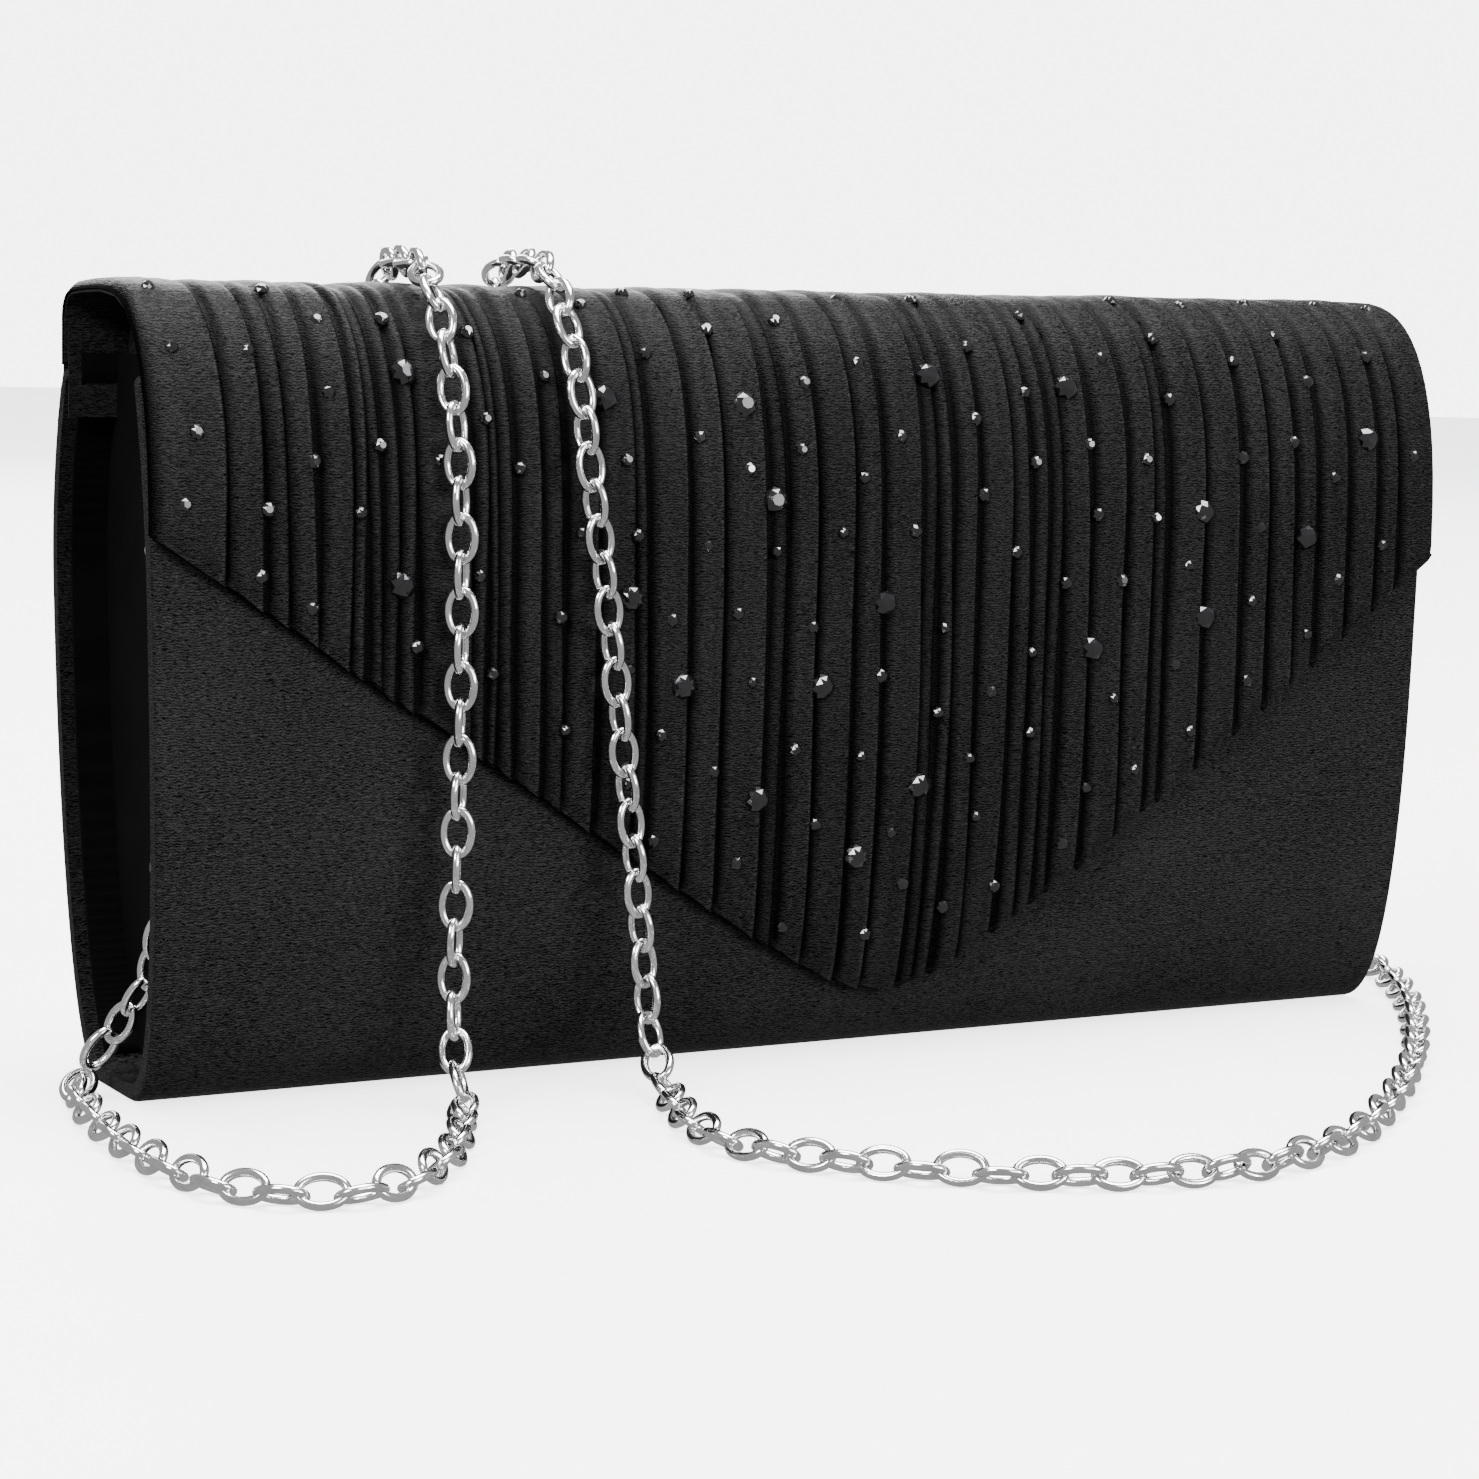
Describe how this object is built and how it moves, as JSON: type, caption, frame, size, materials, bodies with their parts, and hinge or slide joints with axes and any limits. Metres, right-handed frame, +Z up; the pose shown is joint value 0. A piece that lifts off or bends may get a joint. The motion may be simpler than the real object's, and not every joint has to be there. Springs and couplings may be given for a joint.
{
  "type": "evening bag",
  "caption": "Slim black satin envelope clutch: pleated V flap set with jet stones, recessed side gussets and a silver chain strap laid over it.",
  "frame": {"origin": "on the floor under the centre of the bag's box, measured without the chain", "axes": "+X along the bag's width, -Y out of the front (flap side), +Z up"},
  "size_m": [0.2823, 0.161, 0.1395],
  "materials": {
    "black_satin": "satin weave, soft sheen",
    "pleated_satin": "knife pleats, soft sheen",
    "gusset_cloth": "matt",
    "lining_satin": "smooth satin",
    "grey_board": "matt",
    "silver_plate": "polished",
    "silver_chain": "polished",
    "steel": "plated",
    "magnet": "plain",
    "jet_stone": "faceted, polished"
  },
  "bodies": {
    "bag": {"front_cover": "black_satin", "back_cover": "black_satin", "gusset_left": "gusset_cloth", "gusset_right": "gusset_cloth", "front_lining": "lining_satin", "back_lining": "lining_satin", "slip_pocket": "lining_satin", "gusset_lining_left": "lining_satin", "gusset_lining_right": "lining_satin", "ring_tab_left": "lining_satin", "ring_tab_right": "lining_satin", "front_board": "grey_board", "back_board": "grey_board", "base_board": "grey_board", "clasp_body_left": "silver_plate", "clasp_body_right": "silver_plate", "clasp_eye_left": "silver_plate", "clasp_eye_right": "silver_plate", "jump_ring_left": "silver_plate", "jump_ring_right": "silver_plate", "chain_strap": "silver_chain", "clasp_pin_left": "steel", "clasp_pin_right": "steel", "snap_socket": "steel", "snap_socket_plate": "steel", "snap_magnet": "magnet"},
    "flap": {"flap_cover": "pleated_satin", "flap_board": "grey_board", "flap_lining": "lining_satin", "snap_stud": "steel", "snap_stud_plate": "steel", "large_stone_01": "jet_stone", "large_stone_02": "jet_stone", "large_stone_03": "jet_stone", "large_stone_04": "jet_stone", "large_stone_05": "jet_stone", "large_stone_06": "jet_stone", "large_stone_07": "jet_stone", "large_stone_08": "jet_stone", "large_stone_09": "jet_stone", "large_stone_10": "jet_stone", "large_stone_11": "jet_stone", "large_stone_12": "jet_stone", "large_stone_13": "jet_stone", "large_stone_14": "jet_stone", "large_stone_15": "jet_stone", "large_stone_16": "jet_stone", "large_stone_17": "jet_stone", "large_stone_18": "jet_stone", "large_stone_19": "jet_stone"},
    "gate_left": {"clasp_gate_left": "steel"},
    "ring_left": {"d_ring_left": "silver_plate"},
    "gate_right": {"clasp_gate_right": "steel"},
    "ring_right": {"d_ring_right": "silver_plate"}
  },
  "joints": [
    {"name": "flap_hinge", "type": "hinge", "parent": "bag", "child": "flap", "pos_m": [0, 0.02005, 0.1186], "axis": [-1, 0, 0], "range_deg": [0, 150], "deforming": ["chain_strap"]},
    {"name": "clasp_gate_left", "type": "hinge", "parent": "bag", "child": "gate_left", "pos_m": [-0.1202, -0.01135, 0.0992], "axis": [1, 0, 0], "range_deg": [0, 25], "stiffness_Nm_per_rad": 0.001, "springref_deg": -17.19},
    {"name": "d_ring_swing_left", "type": "hinge", "parent": "bag", "child": "ring_left", "pos_m": [-0.1202, -0.01455, 0.111], "axis": [1, 0, 0], "range_deg": [0, 12]},
    {"name": "clasp_gate_right", "type": "hinge", "parent": "bag", "child": "gate_right", "pos_m": [0.1202, -0.01135, 0.0992], "axis": [1, 0, 0], "range_deg": [0, 25], "stiffness_Nm_per_rad": 0.001, "springref_deg": -17.19},
    {"name": "d_ring_swing_right", "type": "hinge", "parent": "bag", "child": "ring_right", "pos_m": [0.1202, -0.01455, 0.111], "axis": [1, 0, 0], "range_deg": [0, 12]}
  ]
}
